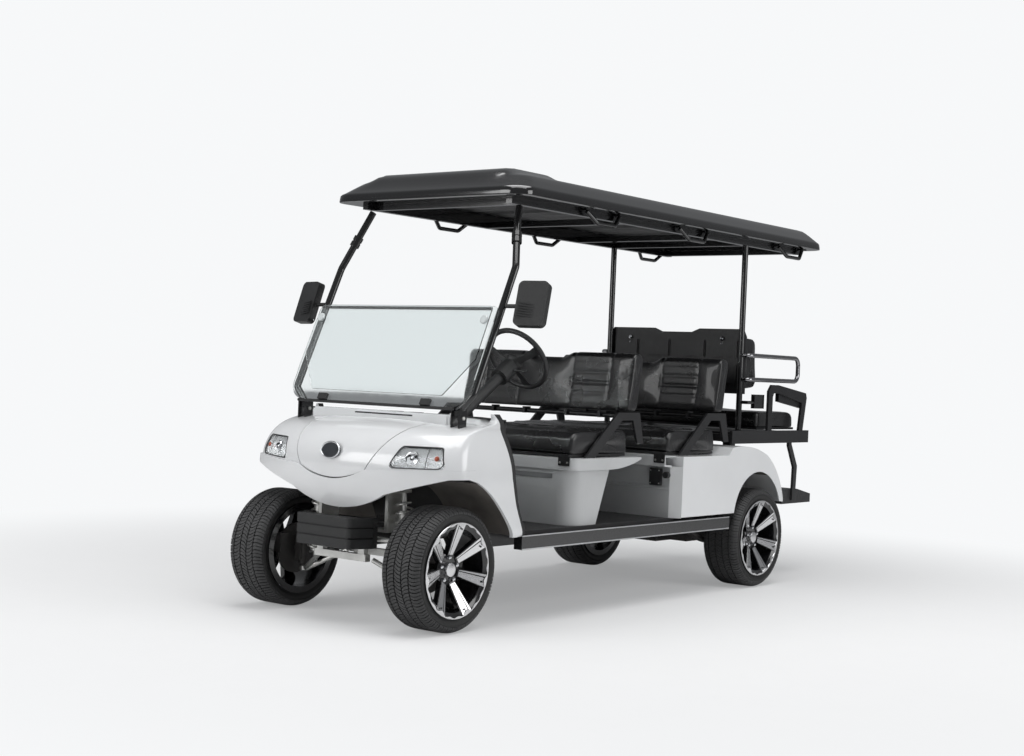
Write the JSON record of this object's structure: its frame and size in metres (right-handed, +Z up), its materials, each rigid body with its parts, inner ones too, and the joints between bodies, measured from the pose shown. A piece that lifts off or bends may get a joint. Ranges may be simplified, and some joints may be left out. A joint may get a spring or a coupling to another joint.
{
  "type": "golf cart",
  "caption": "Electric golf cart with forward and rear-facing bench seats, long roof, folding windscreen, alloy wheels, steering, tilting seat bases and a flip-over rear seat.",
  "frame": {"origin": "on the ground at the middle of the cart's box", "axes": "+Z up; the cart faces -Y; its left, driver's side is +X"},
  "size_m": [1.488, 3.5459, 1.99],
  "materials": {
    "black_steel": "satin powder coat",
    "bright_tube": "polished tube",
    "bare_steel": "zinc plated",
    "cast_iron": "rough",
    "body_white": "gloss",
    "pod_grey": "satin",
    "black_plastic": "fine grain",
    "rocker_black": "satin with bright edges",
    "trim_rubber": "matt",
    "roof_black": "high gloss",
    "seat_leather": "soft grain",
    "tyre_rubber": "matt",
    "alloy": "machined face, black windows",
    "clear_acrylic": "clear",
    "lamp_red": "clear red",
    "badge_chrome": "polished",
    "battery_case": "satin"
  },
  "bodies": {
    "cart": {"frame_rails": "black_steel", "frame_crossmembers": "black_steel", "rear_seat_frame": "black_steel", "seat_side_frames": "black_steel", "rear_posts": "black_steel", "front_struts": "black_steel", "roof_frame": "black_steel", "rear_armrests": "black_steel", "foot_platform": "black_steel", "side_handrails": "bright_tube", "front_subframe": "bare_steel", "front_suspension": "bare_steel", "rear_axle": "cast_iron", "front_cowl": "body_white", "hood_panel": "body_white", "rear_body": "body_white", "front_seat_pod": "pod_grey", "middle_seat_pod": "pod_grey", "floor_pan": "black_plastic", "wheel_wells": "black_plastic", "front_bumper": "black_plastic", "dashboard": "black_plastic", "charge_port": "black_plastic", "mirrors": "black_plastic", "windscreen_clips": "black_plastic", "rear_back_shell": "black_plastic", "steering_column": "black_plastic", "pedals": "black_plastic", "grab_handles": "black_plastic", "rocker_panels": "rocker_black", "cowl_trim": "trim_rubber", "roof_canopy": "roof_black", "front_seat_back": "seat_leather", "middle_seat_back": "seat_leather", "rear_seat_back": "seat_leather", "windscreen_lower": "clear_acrylic", "windscreen_upper": "clear_acrylic", "headlights": "clear_acrylic", "tail_lights": "lamp_red", "badge_plate": "badge_chrome", "battery_pack": "battery_case"},
    "knuckle_left_body": {"knuckle_left": "cast_iron"},
    "knuckle_right_body": {"knuckle_right": "cast_iron"},
    "tie_rod_body": {"steering_link": "bare_steel"},
    "steering_wheel_body": {"steering_wheel": "black_plastic"},
    "wheel_front_left": {"rim_front_left": "alloy", "tyre_front_left": "tyre_rubber"},
    "wheel_front_right": {"rim_front_right": "alloy", "tyre_front_right": "tyre_rubber"},
    "wheel_rear_left": {"rim_rear_left": "alloy", "tyre_rear_left": "tyre_rubber"},
    "wheel_rear_right": {"rim_rear_right": "alloy", "tyre_rear_right": "tyre_rubber"},
    "front_seat_base": {"front_seat_board": "black_plastic", "front_seat_cushion": "seat_leather"},
    "middle_seat_base": {"middle_seat_board": "black_plastic", "middle_seat_cushion": "seat_leather"},
    "rear_flip_seat": {"rear_seat_deck": "black_plastic", "rear_seat_cushion": "seat_leather"}
  },
  "joints": [
    {"name": "left_steer", "type": "hinge", "parent": "cart", "child": "knuckle_left_body", "pos_m": [0.35, -1.513, 0.26], "axis": [0, 0, 1], "range_deg": [-28, 28]},
    {"name": "right_steer", "type": "hinge", "parent": "cart", "child": "knuckle_right_body", "pos_m": [-0.35, -1.513, 0.26], "axis": [0, 0, 1], "range_deg": [-28, 28]},
    {"name": "tie_rod_slide", "type": "slide", "parent": "cart", "child": "tie_rod_body", "axis": [1, 0, 0], "range_m": [-0.058, 0.058]},
    {"name": "steering_wheel_turn", "type": "hinge", "parent": "cart", "child": "steering_wheel_body", "pos_m": [0.26, -0.791, 1.154], "axis": [0, 0.829, 0.5592], "range_deg": [-352, 352]},
    {"name": "front_left_wheel_spin", "type": "hinge", "parent": "knuckle_left_body", "child": "wheel_front_left", "pos_m": [0.457, -1.513, 0.26], "axis": [1, 0, 0], "continuous": true},
    {"name": "front_right_wheel_spin", "type": "hinge", "parent": "knuckle_right_body", "child": "wheel_front_right", "pos_m": [-0.457, -1.513, 0.26], "axis": [1, 0, 0], "continuous": true},
    {"name": "rear_left_wheel_spin", "type": "hinge", "parent": "cart", "child": "wheel_rear_left", "pos_m": [0.513, 0.911, 0.26], "axis": [1, 0, 0], "continuous": true},
    {"name": "rear_right_wheel_spin", "type": "hinge", "parent": "cart", "child": "wheel_rear_right", "pos_m": [-0.513, 0.911, 0.26], "axis": [1, 0, 0], "continuous": true},
    {"name": "front_seat_tilt", "type": "hinge", "parent": "cart", "child": "front_seat_base", "pos_m": [0, -0.701, 0.716], "axis": [1, 0, 0], "range_deg": [0, 55]},
    {"name": "middle_seat_tilt", "type": "hinge", "parent": "cart", "child": "middle_seat_base", "pos_m": [0, 0.109, 0.716], "axis": [1, 0, 0], "range_deg": [0, 55]},
    {"name": "rear_seat_flip", "type": "hinge", "parent": "cart", "child": "rear_flip_seat", "pos_m": [0, 1.532, 0.828], "axis": [-1, 0, 0], "range_deg": [0, 180]}
  ],
  "couplings": [
    {"joint": "right_steer", "follows": "left_steer", "ratio": 1},
    {"joint": "tie_rod_slide", "follows": "left_steer", "m_per_rad": -0.118},
    {"joint": "steering_wheel_turn", "follows": "left_steer", "ratio": 12.5}
  ]
}
